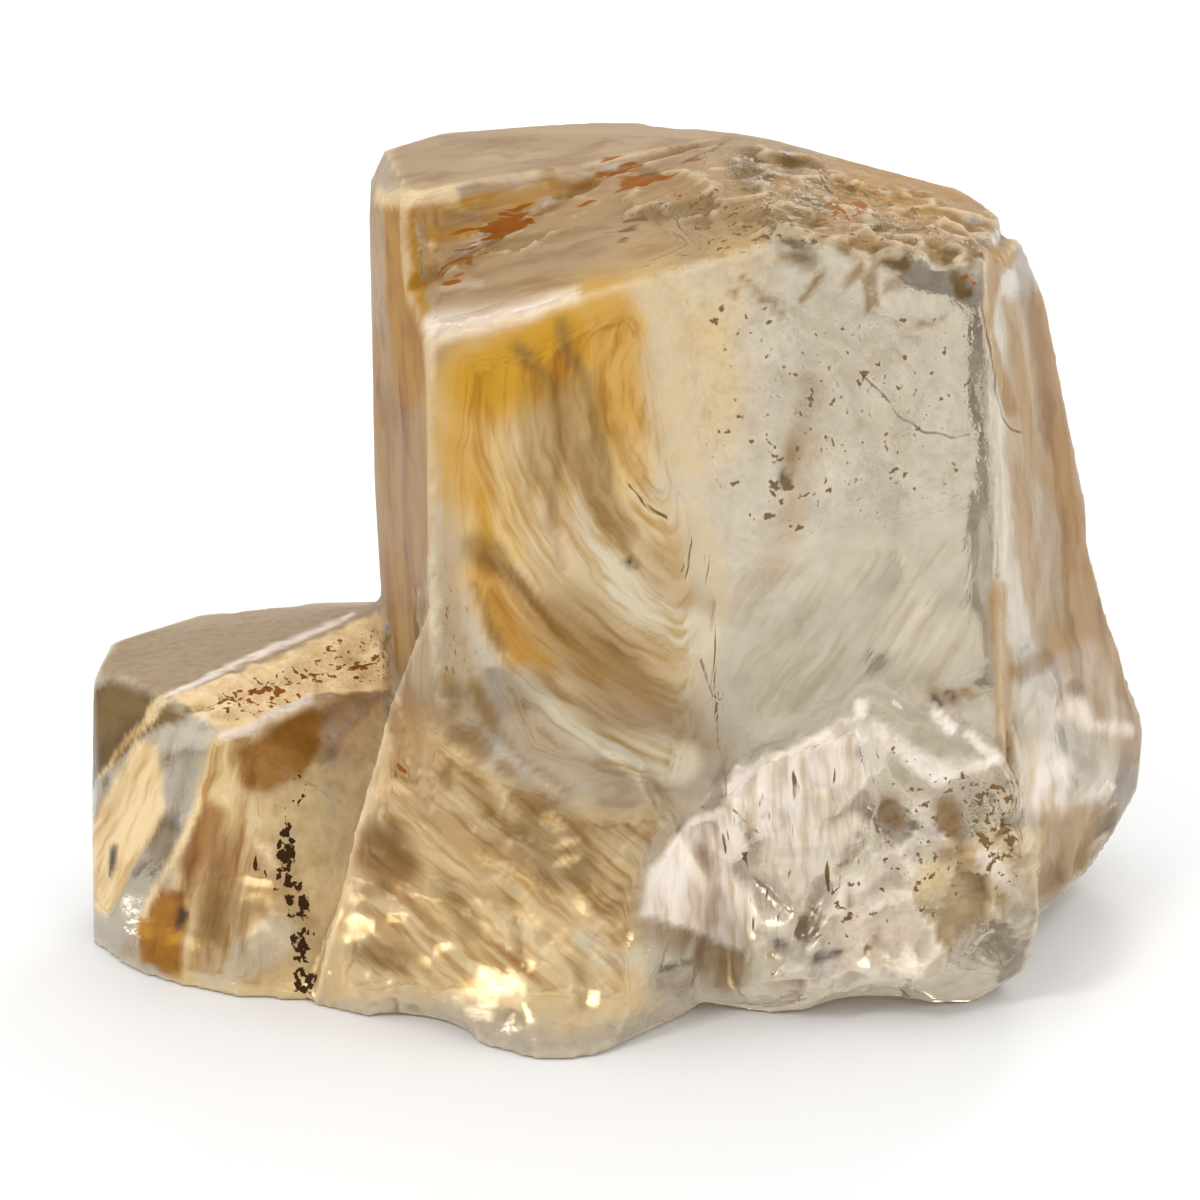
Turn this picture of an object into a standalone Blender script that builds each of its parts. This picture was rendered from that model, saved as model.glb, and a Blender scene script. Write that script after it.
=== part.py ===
"""A rough citrine point: one natural piece of pale yellow quartz, broken from a larger crystal.

The stone is built the way it formed. Six convex masses with flat cleaved faces grow together
into one solid. A ledge is broken out of the brow, curved fractures take shallow bites, and
small nicks, grooves and pits roughen the broken parts. Corners are in millimetres: +X runs to
the right, +Y to the back and +Z up. The stone rests on Z = 0.
"""

import math
import random

import bmesh
import bpy
from mathutils import Matrix, Vector
from mathutils.bvhtree import BVHTree

MM = 0.001

# The stone's driving sizes
TOE_Y = -13.1
BACK_WALL_Y = 20.0
PLATEAU_Z = 39.1
STEP_Z = 13.8
LEFT_SIDE_X = -11.8
RIGHT_EDGE_X = 19.5

FAR = 0.05
SEED = 17
GEM_COLOUR = (0.86, 0.66, 0.30, 1.0)
GEM_ROUGHNESS = 0.18
GEM_IOR = 1.55

SHAFT = {
    "plateau left": (LEFT_SIDE_X + 0.8, 12.0, PLATEAU_Z + 0.1),
    "plateau back left": (-8.3, 16.0, PLATEAU_Z),
    "plateau back": (0.0, 18.5, PLATEAU_Z),
    "plateau back right": (2.2, 18.0, PLATEAU_Z + 0.1),
    "summit": (8.4, 11.5, PLATEAU_Z + 0.8),
    "crown back": (16.2, 10.0, 38.1),
    "crown back right": (18.2, 9.0, 37.8),
    "crown right": (20.1, 7.5, 36.7),
    "shoulder": (LEFT_SIDE_X + 0.1, 11.0, 37.8),
    "shoulder low": (LEFT_SIDE_X, 10.5, 36.1),
    "brow left": (-8.4, -2.9, PLATEAU_Z - 0.2),
    "brow middle": (6.7, -3.0, PLATEAU_Z - 0.2),
    "brow ridge": (12.9, -3.3, 38.2),
    "brow right": (18.4, -2.3, 37.3),
    "left side low": (LEFT_SIDE_X - 0.1, 12.0, 21.4),
    "left side root": (LEFT_SIDE_X + 0.3, 11.0, 15.0),
    "left side foot": (LEFT_SIDE_X + 0.8, 12.0, 0.0),
    "face left": (-8.1, -8.3, 22.0),
    "face left low": (-7.7, -9.8, 17.5),
    "face ridge top": (10.0, -5.3, 32.1),
    "face ridge": (4.8, -9.3, 19.4),
    "face ridge low": (5.8, -10.5, 13.1),
    "right edge": (RIGHT_EDGE_X - 0.2, -4.4, 26.8),
    "right edge low": (RIGHT_EDGE_X, -6.6, 16.2),
    "right edge foot": (RIGHT_EDGE_X + 0.4, -7.1, 12.0),
    "foot left": (-8.0, -8.6, 2.0),
    "foot right": (19.0, -6.0, 0.0),
    "foot middle": (8.5, -7.6, 0.0),
    "back left upper": (-9.5, BACK_WALL_Y, 30.0),
    "back left foot": (-10.0, 17.0, 0.0),
    "back right upper": (18.0, 17.0, 30.0),
    "back right foot": (18.5, 13.0, 0.0),
    "back middle": (6.0, BACK_WALL_Y + 1.5, 18.0),
}

TOE = {
    "flare top": (-8.1, -8.4, 22.0),
    "flare": (-10.1, -8.0, 16.6),
    "flare middle": (-12.3, -7.1, 8.4),
    "flare foot": (-14.5, -6.8, 0.0),
    "toe left": (-6.4, -9.8, 0.0),
    "toe front left": (-4.9, -11.5, 0.0),
    "toe": (-2.9, TOE_Y, 0.0),
    "toe right": (-1.5, TOE_Y, 0.0),
    "toe front right": (0.0, TOE_Y + 0.5, 0.0),
    "toe outer": (2.0, -10.4, 0.0),
    "toe root": (4.5, -7.9, 0.0),
    "knee left": (-7.7, -10.0, 17.4),
    "knee": (-1.9, -10.9, 14.8),
    "knee right": (1.9, -11.0, 14.2),
    "shin right": (5.2, -10.8, 8.5),
    "inner left": (-9.0, 8.0, 1.0),
    "inner right": (8.0, 4.0, 1.0),
    "inner top": (0.0, 2.0, 15.0),
}

BASE = {
    "apex": (13.0, -8.3, 17.2),
    "left": (5.9, -10.9, 12.9),
    "right": (20.0, -7.3, 13.2),
    "right edge": (20.8, -7.6, 11.3),
    "right corner": (21.5, -8.2, 7.3),
    "right foot": (21.4, -8.5, 5.4),
    "right foot low": (21.4, -7.1, 2.2),
    "foot front right": (18.8, -6.6, 0.0),
    "foot front": (17.3, -6.8, 0.0),
    "foot right": (20.6, -4.4, 0.0),
    "foot left": (8.5, -7.9, 0.0),
    "foot inner": (6.5, -7.3, 0.0),
    "shin left": (7.4, -10.7, 5.0),
    "shin middle": (14.0, -9.7, 2.6),
    "shin right": (19.2, -8.4, 2.6),
    "inner left": (8.0, 2.0, 2.0),
    "inner right": (18.0, 2.0, 2.0),
    "inner top": (14.0, 2.0, 16.0),
}

STEP = {
    "back left": (-25.6, 8.0, STEP_Z),
    "back far left": (-23.9, 9.4, STEP_Z - 0.1),
    "back": (-21.4, 12.5, STEP_Z - 0.2),
    "back middle": (-16.1, 13.6, STEP_Z),
    "back root": (-8.0, 14.5, STEP_Z),
    "left nose": (-26.1, 4.2, STEP_Z - 0.6),
    "left shoulder": (-24.2, 2.0, STEP_Z + 0.2),
    "ridge left": (-21.9, -1.5, STEP_Z + 0.5),
    "ridge": (-21.3, -0.9, STEP_Z + 0.7),
    "ridge root": (-11.0, 11.0, STEP_Z + 1.0),
    "slope left": (-20.3, -3.0, STEP_Z + 0.3),
    "lip": (-18.8, -4.2, 13.4),
    "lip middle": (-16.3, -2.0, 13.3),
    "lip inner": (-14.0, 0.5, 13.4),
    "lip root": (-10.9, 3.0, 12.9),
    "cheek": (-25.6, 1.0, 9.0),
    "left side": (-26.5, 4.5, 6.5),
    "left foot": (-26.2, 0.3, 0.0),
    "left foot front": (-23.9, -2.9, 0.0),
    "front foot": (-21.2, -4.7, 0.0),
    "front foot middle": (-18.1, -6.1, 0.0),
    "front edge": (-20.5, -4.6, 7.4),
    "crevice foot": (-14.6, -6.5, 0.0),
    "crevice root": (-8.0, -2.0, 6.0),
    "back foot": (-23.0, 12.0, 0.0),
    "back foot root": (-8.0, 15.0, 0.0),
}

FLANK = {
    "crown": (20.9, 6.0, 36.1),
    "crown low": (21.3, 6.5, 35.3),
    "shoulder": (22.6, 8.0, 32.3),
    "front edge top": (18.6, -1.9, 36.4),
    "front edge": (RIGHT_EDGE_X - 0.1, -4.2, 26.8),
    "front edge low": (RIGHT_EDGE_X + 0.2, -6.2, 15.6),
    "outer upper": (24.1, 9.0, 25.6),
    "outer": (25.3, 10.0, 20.9),
    "outer low": (25.5, 10.0, 18.4),
    "back upper": (19.0, 16.0, 31.0),
    "back": (22.0, 17.0, 15.0),
    "inner top": (12.0, 8.0, 34.0),
    "inner foot": (12.0, 8.0, 4.0),
}

HEEL = {
    "top": (25.4, 10.0, 18.8),
    "top front": (20.0, -5.4, 17.0),
    "upper": (27.5, 10.0, 12.5),
    "bulge": (29.0, 10.0, 8.0),
    "bulge low": (28.8, 10.0, 4.5),
    "under back": (27.7, 8.5, 3.2),
    "under": (26.3, 7.0, 1.5),
    "under front": (25.4, 6.0, 1.0),
    "notch": (23.2, 2.5, 1.5),
    "notch front": (22.4, 0.0, 1.4),
    "front low": (21.3, -4.6, 8.0),
    "back": (24.5, 17.0, 9.0),
    "back low": (22.0, 14.0, 0.0),
    "inner": (12.0, 6.0, 0.0),
    "inner back": (12.0, 14.0, 10.0),
}

# The ledge broken out of the brow. Its floor slopes down to the left and the front, and its
# wall climbs back to the plateau.
LEDGE = {
    "floor back left": (-15.0, -3.2, 32.4),
    "floor back right": (9.5, 14.2, 43.2),
    "floor front left": (-15.0, -14.0, 29.6),
    "floor front right": (9.5, -14.0, 35.9),
    "wall top left": (-18.2, -0.6, 43.0),
    "wall top right": (8.0, 18.4, 50.0),
    "front top left": (-15.0, -14.0, 48.0),
    "front top right": (9.5, -14.0, 50.0),
}

# Each large fracture: where it bites, which way it faces (turn from the front, tilt above
# the horizon), how wide the bite is across, how deep, and how far it runs past its rim.
OPEN = 2.2
RIM = 1.02
FRACTURES = {
    "brow": ((-4.0, -1.2, 35.2), -45, 70, 7.0, 0.35, RIM),
    "face left": ((-1.8, -8.2, 25.0), -1, 18, 14.5, 0.40, RIM),
    "face right": ((13.4, -7.0, 23.0), 13, 12, 12.0, 0.30, RIM),
    "face chip": ((16.7, -3.4, 33.6), 13, 12, 8.8, 0.55, OPEN),
    "plateau hollow": ((-3.5, 12.5, 39.3), 10, 88, 8.0, 0.30, RIM),
    "saddle": ((4.6, 16.2, 39.2), 160, 55, 4.0, 0.40, 1.5),
    "crown hollow": ((14.6, 4.0, 38.6), 60, 80, 6.4, 0.40, RIM),
    "step back": ((-17.5, 14.2, 7.0), 190, 5, 14.0, 1.0, RIM),
    "left side": ((-11.2, 5.0, 27.0), 280, -1, 12.0, 0.40, RIM),
    "step flank": ((-25.4, 7.2, 6.0), 248, -4, 6.0, 0.40, RIM),
    "step face": ((-18.0, -5.0, 6.5), -14, 8, 8.5, 0.55, RIM),
    "flare": ((-11.6, -7.6, 6.0), -40, 8, 6.0, 0.45, RIM),
    "toe under": ((-9.0, -9.4, 0.6), -22, -30, 6.4, 1.1, OPEN),
    "foot under": ((13.6, -7.0, 0.4), 4, -48, 6.5, 0.9, OPEN),
    "knee hollow": ((-2.0, -11.6, 9.0), -5, 6, 5.4, 0.45, RIM),
    "flank": ((23.2, 4.0, 24.0), 71, 9, 9.0, 0.45, RIM),
    "heel": ((25.6, 2.5, 12.0), 58, 4, 8.0, 0.45, RIM),
    "heel dent": ((26.6, 5.4, 4.2), 60, -22, 5.5, 0.6, RIM),
    "back left": ((-4.0, 20.4, 24.0), 172, 8, 19.0, 1.5, OPEN),
    "back right": ((12.0, 19.2, 16.0), 205, -4, 20.0, 1.6, OPEN),
    "back foot": ((3.0, 19.0, 5.0), 183, -14, 15.0, 1.4, RIM),
    "back crown": ((12.5, 15.2, 33.5), 148, 40, 7.0, 0.6, RIM),
    "heel back": ((24.0, 15.2, 8.0), 150, 2, 12.0, 1.0, OPEN),
}

# Each patch of nicks: centre, facing, patch size across and along, how many nicks, and the
# least and greatest depth. A nick is the corner of a block, so it leaves flat glinting planes.
NICKED = {
    "base": ((13.4, -9.2, 7.4), 4, 4, 15.0, 11.0, 64, 0.40, 1.50),
    "base top": ((13.2, -8.2, 14.6), 2, 10, 10.0, 3.0, 12, 0.25, 0.8),
    "crown": ((13.2, 3.2, 38.8), -6, 66, 13.0, 11.0, 44, 0.35, 1.10),
    "brow edge": ((12.0, -2.8, 37.9), 4, 40, 13.0, 1.4, 16, 0.30, 0.8),
    "brow grains": ((-2.0, 6.0, 38.0), -20, 60, 11.0, 2.0, 12, 0.15, 0.4),
    "toe": ((-1.0, -12.6, 3.4), 4, 8, 7.0, 5.4, 16, 0.30, 0.9),
    "shin": ((-5.0, -11.2, 8.0), -20, 6, 7.0, 10.0, 7, 0.2, 0.5),
    "step slope": ((-16.0, 2.0, 14.0), -20, 60, 7.0, 4.0, 5, 0.15, 0.35),
    "heel": ((24.6, 3.4, 8.0), 58, 0, 4.0, 8.0, 8, 0.2, 0.55),
    "back": ((4.0, 19.4, 12.0), 183, 0, 22.0, 18.0, 16, 0.3, 0.9),
}

# Each groove: its two ends, the way it faces, and its width and depth. The ribs of the step
# are what stands between its grooves.
BROW_CREVICE = ((-8.6, 1.3, 35.2), (-5.0, 3.7, 36.6), (0.0, 7.4, 38.3), (6.2, 11.6, 39.4))
RIB_COUNT = 8
RIB_FIRST = ((-20.6, -2.6, 14.2), (-16.2, 1.6, 14.2))
RIB_LAST = ((-14.6, 0.6, 13.5), (-11.4, 7.2, 14.2))


def facing(turn, tilt):
    """The outward direction of a face turned round from the front and tilted above the horizon."""
    turn, tilt = math.radians(turn), math.radians(tilt)
    return Vector((math.sin(turn) * math.cos(tilt), -math.cos(turn) * math.cos(tilt), math.sin(tilt)))


def collection(name, rendered):
    made = bpy.data.collections.new(name)
    made.hide_render = not rendered
    bpy.context.scene.collection.children.link(made)
    return made


def object_from(name, form, home):
    mesh = bpy.data.meshes.new(name)
    form.to_mesh(mesh)
    form.free()
    made = bpy.data.objects.new(name, mesh)
    home.objects.link(made)
    return made


def mass(name, corners, home):
    """A convex mass with a flat cleaved face between each set of neighbouring corners."""
    form = bmesh.new()
    for corner in corners.values():
        form.verts.new(Vector(corner) * MM)
    hull = bmesh.ops.convex_hull(form, input=form.verts)
    spare = {v for v in hull["geom_interior"] + hull["geom_unused"] if isinstance(v, bmesh.types.BMVert)}
    bmesh.ops.delete(form, geom=list(spare), context="VERTS")
    bmesh.ops.recalc_face_normals(form, faces=form.faces)
    return object_from(name, form, home)


def cutter(name, form, place, turning, home):
    """Hangs a cutter's form at its place, in metres, with its own +Z turned outward."""
    form.transform(Matrix.Scale(MM, 4))
    made = object_from(name, form, home)
    made.location = place
    made.rotation_mode = "QUATERNION"
    made.rotation_quaternion = turning
    made.display_type = "WIRE"
    made.hide_render = True
    return made


def bite(name, place, direction, across, depth, run_on, home, rings=4, spokes=18):
    """A cutter with one bulging face, like the shell shape that a fracture leaves in quartz.

    It is turned about its own Z axis. The bulge reaches the depth at its middle and the stone's
    face at its rim. Past the rim it runs on by its last value, in rim radii.
    """
    radius = (across * across / 4 + depth * depth) / (2 * depth)
    reach = min(run_on * across / 2, 0.95 * radius)
    form = bmesh.new()
    profile = []
    for ring in range(rings + 1):
        run = reach * ring / rings
        profile.append(form.verts.new((run, 0.0, radius - depth - math.sqrt(radius * radius - run * run))))
    height = across if run_on > 1.5 else depth
    profile.append(form.verts.new((reach, 0.0, profile[-1].co.z + height)))
    profile.append(form.verts.new((0.0, 0.0, profile[-1].co.z)))
    edges = [form.edges.new(pair) for pair in zip(profile, profile[1:])]
    bmesh.ops.spin(form, geom=profile + edges, cent=(0, 0, 0), axis=(0, 0, 1), angle=math.tau,
                   steps=spokes, use_merge=True)
    bmesh.ops.remove_doubles(form, verts=form.verts, dist=across * 1e-4)
    bmesh.ops.recalc_face_normals(form, faces=form.faces)
    return cutter(name, form, place, direction.to_track_quat("Z", "Y"), home)


def nick(name, place, direction, depth, dice, home):
    """A block's corner dug into the stone, which leaves three flat planes and sharp ledges."""
    side = 4 * depth
    form = bmesh.new()
    bmesh.ops.create_cube(form, size=side)
    form.transform(Matrix.Diagonal((1.0, dice.uniform(0.7, 1.6), 1.0, 1.0)))
    corner_down = Vector((1, 1, 1)).rotation_difference(Vector((0, 0, -1)))
    form.transform(corner_down.to_matrix().to_4x4())
    form.transform(Matrix.Rotation(dice.uniform(0, math.tau), 4, "Z"))
    lowest = min(vertex.co.z for vertex in form.verts)
    bmesh.ops.recalc_face_normals(form, faces=form.faces)
    middle = place + direction * (-lowest - depth) * MM
    return cutter(name, form, middle, direction.to_track_quat("Z", "Y"), home)


def groove(name, start, end, outward, width, depth, home):
    """A V-shaped groove between two points on the stone, running on a little past both."""
    along = end - start
    form = bmesh.new()
    length = 0.5 * along.length / MM + width
    rise = width * 0.5
    for reach in (-length, length):
        for across, height in ((0.0, -depth), (rise, 0.0), (rise, width), (-rise, width), (-rise, 0.0)):
            form.verts.new((reach, across, height))
    bmesh.ops.convex_hull(form, input=form.verts)
    bmesh.ops.recalc_face_normals(form, faces=form.faces)
    side = outward.cross(along).normalized()
    up = along.cross(side).normalized()
    turning = Matrix((along.normalized(), side, up)).transposed().to_quaternion()
    return cutter(name, form, (start + end) / 2, turning, home)


def on_surface(skin, near, direction):
    """The point where a line through near, coming in against the direction, meets the stone."""
    start = Vector(near) * MM + direction * FAR
    found = skin.ray_cast(start, -direction)[0]
    return found if found is not None else Vector(near) * MM


def nicks(name, patch, skin, dice, home):
    """Nicks scattered over one rough patch of the stone."""
    centre, turn, tilt, wide, high, count, least, most = patch
    outward = facing(turn, tilt)
    frame = outward.to_track_quat("Z", "Y").to_matrix()
    for number in range(count):
        shift = frame @ Vector((dice.uniform(-wide, wide) / 2, dice.uniform(-high, high) / 2, 0.0))
        place = on_surface(skin, Vector(centre) + shift, outward)
        lean = facing(turn + dice.uniform(-35, 35), tilt + dice.uniform(-30, 30))
        depth = least + (most - least) * dice.random() ** 2
        nick(f"{name} {number}", place, lean, depth, dice, home)


def ribs(skin, dice, home):
    """The grooves of the step's slope, fanned between the first and the last."""
    outward = facing(-25, 62)
    for number in range(RIB_COUNT):
        share = number / (RIB_COUNT - 1)
        ends = []
        for first, last in zip(RIB_FIRST, RIB_LAST):
            near = Vector(first).lerp(Vector(last), share)
            ends.append(on_surface(skin, near, outward))
        groove(f"rib groove {number}", *ends, outward, dice.uniform(0.7, 1.2), dice.uniform(0.2, 0.4), home)


def crevice(skin, home):
    """The crack at the foot of the ledge's wall."""
    outward = facing(-20, 60)
    points = [on_surface(skin, near, outward) for near in BROW_CREVICE]
    for number, (start, end) in enumerate(zip(points, points[1:])):
        groove(f"crevice {number}", start, end, outward, 0.9, 0.45, home)


def gem_material():
    material = bpy.data.materials.new("citrine")
    material.use_nodes = True
    shader = material.node_tree.nodes["Principled BSDF"]
    shader.inputs["Base Color"].default_value = GEM_COLOUR
    shader.inputs["Roughness"].default_value = GEM_ROUGHNESS
    shader.inputs["IOR"].default_value = GEM_IOR
    shader.inputs["Transmission Weight"].default_value = 1.0
    return material


def boolean(stone, operation, others):
    step = stone.modifiers.new(operation.title(), "BOOLEAN")
    step.operation = operation
    step.operand_type = "COLLECTION"
    step.collection = others
    step.solver = "EXACT"
    step.use_self = True
    return step


def standing_on_origin(mesh):
    """Moves the mesh so that the middle of its underside is the origin."""
    points = [vertex.co for vertex in mesh.vertices]
    low = Vector([min(p[axis] for p in points) for axis in range(3)])
    high = Vector([max(p[axis] for p in points) for axis in range(3)])
    middle = (low + high) / 2
    mesh.transform(Matrix.Translation((-middle.x, -middle.y, -low.z)))


def evaluated_mesh(obj):
    bpy.context.view_layer.update()
    graph = bpy.context.evaluated_depsgraph_get()
    return bpy.data.meshes.new_from_object(obj.evaluated_get(graph))


def skin_of(obj):
    """A search tree of the object's evaluated faces, for setting cutters on its surface."""
    bpy.context.view_layer.update()
    return BVHTree.FromObject(obj, bpy.context.evaluated_depsgraph_get())


def build():
    for obj in list(bpy.data.objects):
        bpy.data.objects.remove(obj)
    stone_home = collection("Citrine point", rendered=True)
    growth = collection("Masses", rendered=False)
    breaks = collection("Ledge", rendered=False)
    cutters = collection("Cutters", rendered=False)

    body = mass("shaft", SHAFT, stone_home)
    for name, corners in {"toe": TOE, "base": BASE, "step": STEP, "flank": FLANK, "heel": HEEL}.items():
        mass(name, corners, growth)
    boolean(body, "UNION", growth)
    ledge = mass("ledge", LEDGE, breaks)
    ledge.display_type = "WIRE"
    ledge.hide_render = True
    boolean(body, "DIFFERENCE", breaks)

    skin = skin_of(body)
    dice = random.Random(SEED)
    for name, (near, turn, tilt, across, depth, run_on) in FRACTURES.items():
        outward = facing(turn, tilt)
        bite(name, on_surface(skin, near, outward), outward, across, depth, run_on, cutters)
    for name, patch in NICKED.items():
        nicks(name, patch, skin, dice, cutters)
    ribs(skin, dice, cutters)
    crevice(skin, cutters)
    boolean(body, "DIFFERENCE", cutters)

    mesh = evaluated_mesh(body)
    bpy.data.objects.remove(body)
    standing_on_origin(mesh)
    mesh.materials.clear()
    mesh.materials.append(gem_material())
    mesh.name = "citrine_point"
    stone_home.objects.link(bpy.data.objects.new("citrine_point", mesh))


build()
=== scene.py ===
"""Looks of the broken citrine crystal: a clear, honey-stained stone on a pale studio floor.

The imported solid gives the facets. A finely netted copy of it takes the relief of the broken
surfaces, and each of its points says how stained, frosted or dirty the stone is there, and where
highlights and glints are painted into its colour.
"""

import math

import bpy
import numpy as np
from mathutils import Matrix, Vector, noise
from mathutils.bvhtree import BVHTree


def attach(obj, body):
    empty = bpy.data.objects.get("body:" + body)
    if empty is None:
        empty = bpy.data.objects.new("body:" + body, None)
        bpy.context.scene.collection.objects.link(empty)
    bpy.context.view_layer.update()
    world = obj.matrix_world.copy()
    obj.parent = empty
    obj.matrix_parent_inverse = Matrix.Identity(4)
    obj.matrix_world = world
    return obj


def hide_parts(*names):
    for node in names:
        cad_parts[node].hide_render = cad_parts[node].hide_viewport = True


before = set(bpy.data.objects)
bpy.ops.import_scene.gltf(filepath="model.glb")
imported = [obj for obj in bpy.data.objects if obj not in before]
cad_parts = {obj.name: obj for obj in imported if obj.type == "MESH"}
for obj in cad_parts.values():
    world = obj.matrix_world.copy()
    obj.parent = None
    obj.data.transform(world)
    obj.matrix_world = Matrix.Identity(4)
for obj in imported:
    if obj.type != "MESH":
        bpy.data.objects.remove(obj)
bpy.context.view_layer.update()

MM = 0.001

# The photo camera: what it looks at, from where, and how wide its frame is there.
LOOKED_AT = Vector((-1.25, -3.45, 19.0)) * MM
CAMERA_RISE = math.radians(20.0)
CAMERA_DISTANCE = 200 * MM
FRAME_WIDTH = 60 * MM
FRAME_PIXELS = 1200
SENSOR = 36.0

# The fine net that carries relief and stains. Its base stays flat, and the relief sets in over BASE_KEPT mm.
NET = 0.315 * MM
SMOOTHING = 0.5
SMOOTHING_PASSES = 2
BASE_STILL = 0.05
BASE_KEPT = 0.4
BEND_PASSES = 4

# How lines of the photo are followed over the stone: a step in pixels, the rest in mm.
TRACE_STEP = 10.0
PIXEL = 0.05
DEPTH_REACH = 6.0
PATCH_DEPTH = 3.0
SEAM_REACH = 1.0
SEAM_FADE = 0.6
TINY = 1e-6

# How far a face may turn from the photo's side before its stains fade out.
SEEN_EDGE = 0.05
SEEN_FADE = 0.15

TOWARDS_EYE = Vector((0, -math.cos(CAMERA_RISE), math.sin(CAMERA_RISE)))
FRAME_UP = Vector((0, math.sin(CAMERA_RISE), math.cos(CAMERA_RISE)))
EYE = LOOKED_AT + TOWARDS_EYE * CAMERA_DISTANCE


def stroke(half, fade, strength, *spots):
    """One stroke of a stain along spots of the photo: full within half, gone over the next fade (both mm).

    A pair as half is the stroke's half width at its first and at its last spot.
    """
    return {"half": half, "fade": fade, "strength": strength, "spots": spots}


def patch(fade, strength, *corners):
    """One patch of a stain: an area of the photo between these corners, its rim fading over fade (mm)."""
    return {"fade": fade, "strength": strength, "corners": corners}


# Every stain or finish is a list of strokes and patches over the photo's frame, read in pixels.
# Some of the lists lay painted highlights and painted glints instead of stains.
FROST = [
    patch(0.9, 0.8, (432, 345), (466, 340), (458, 400), (456, 470), (470, 520), (462, 580), (475, 650),
          (500, 720), (470, 790), (440, 800), (428, 740), (432, 650), (434, 560), (438, 470)),
    patch(0.3, 0.85, (379, 698), (398, 748), (387, 793), (367, 827), (353, 883), (339, 945),
          (323, 1001), (314, 1001), (317, 917), (323, 861), (331, 804), (323, 776), (339, 737)),
    stroke(2.0, 2.5, 0.35, (430, 900), (480, 960), (560, 1010)),
    patch(0.5, 0.6, (137, 935), (215, 960), (300, 960), (318, 1005), (180, 985), (110, 950)),
    patch(0.5, 0.7, (392, 600), (434, 560), (430, 650), (428, 760), (404, 770), (392, 700)),
    patch(0.8, 0.8, (1004, 300), (1044, 290), (1066, 400), (1086, 560), (1096, 640), (1040, 660),
          (1012, 560), (1006, 430)),
]
TAN = [
    patch(0.4, 0.9, (366, 320), (424, 330), (436, 430), (434, 540), (424, 590), (392, 600), (376, 600)),
    patch(0.3, 0.6, (362, 190), (384, 196), (388, 330), (366, 330)),
    stroke(0.1, 0.5, 0.6, (1008, 300), (1026, 400), (1040, 480)),
    stroke(0.1, 0.6, 0.6, (1048, 420), (1060, 500), (1070, 560)),
    stroke(0.1, 0.6, 0.4, (1020, 470), (1024, 560), (1030, 640)),
    patch(0.3, 0.7, (784, 148), (833, 158), (930, 176), (978, 200), (1019, 233), (1001, 233),
          (981, 220), (930, 197), (889, 194), (853, 192), (833, 184), (810, 166)),
    patch(0.3, 0.85, (988, 243), (1019, 253), (1001, 284), (993, 330), (1019, 414), (1006, 414),
          (990, 368), (984, 319), (985, 279)),
    stroke(0.4, 1.0, 0.75, (1040, 300), (1056, 400), (1068, 480), (1078, 560), (1098, 620), (1118, 690)),
    stroke(0.3, 0.4, 0.8, (999, 590), (1000, 660), (1006, 760)),
    patch(1.4, 0.5, (500, 660), (560, 700), (650, 745), (700, 690), (712, 750), (650, 800), (560, 790),
          (500, 740)),
    stroke(0.2, 1.2, 0.4, (806, 440), (800, 480), (792, 520), (770, 570)),
    patch(0.8, 0.8, (1040, 800), (1075, 800), (1110, 800), (1090, 870), (1035, 905), (1032, 850)),
    stroke(0.8, 1.6, 0.6, (1080, 640), (1110, 690), (1128, 740)),
    patch(1.5, 0.5, (1090, 640), (1130, 720), (1110, 760), (1060, 690)),
]
WARM = [
    patch(2.0, 0.75, (400, 700), (480, 760), (560, 800), (640, 800), (690, 800), (650, 860), (640, 930),
          (660, 1010), (560, 1030), (450, 1000), (320, 1010), (320, 900), (380, 800)),
    patch(1.0, 0.85, (205, 740), (320, 700), (330, 800), (320, 1010), (180, 990), (140, 940), (190, 830)),
    stroke(1.2, 1.6, 0.6, (1010, 860), (960, 890), (860, 930)),
]
HONEY = [
    patch(3.0, 0.62, (444, 346), (500, 340), (535, 326), (570, 312), (600, 296), (640, 280), (642, 400),
          (660, 470), (680, 515), (700, 560), (712, 600), (704, 640), (700, 680), (650, 715), (600, 706),
          (550, 690), (510, 660), (484, 620), (466, 575), (456, 530), (440, 480), (430, 430)),
    stroke(1.2, 2.4, 0.9, (480, 390), (520, 370), (570, 345), (605, 325)),
    stroke(1.0, 2.0, 0.85, (474, 420), (486, 480), (500, 540)),
    stroke(0.8, 1.6, 0.8, (606, 330), (616, 400), (630, 470)),
    stroke(0.5, 1.4, 0.8, (482, 575), (505, 620), (540, 660)),
    stroke(1.0, 3.0, 0.5, (650, 300), (690, 330), (700, 400), (680, 440)),
    stroke(0.5, 2.0, 0.4, (740, 262), (720, 300)),
    stroke(0.4, 1.5, 0.4, (690, 520), (712, 600)),
]
AMBER = [
    patch(0.3, 1.0, (160, 886), (187, 894), (186, 931), (182, 976), (142, 966), (136, 925)),
    patch(0.6, 0.8, (205, 798), (228, 812), (210, 850), (190, 880), (176, 868), (190, 830)),
    patch(0.6, 0.95, (238, 748), (266, 732), (314, 701), (325, 715), (320, 748), (303, 776), (266, 793),
          (244, 788)),
    stroke(0.8, 1.6, 0.6, (340, 728), (362, 706)),
    stroke(0.7, 1.3, 0.85, (380, 850), (394, 862)),
    stroke(0.8, 1.6, 0.6, (400, 720), (405, 770)),
    stroke(1.6, 1.8, 0.45, (240, 880), (260, 930)),
]
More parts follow.
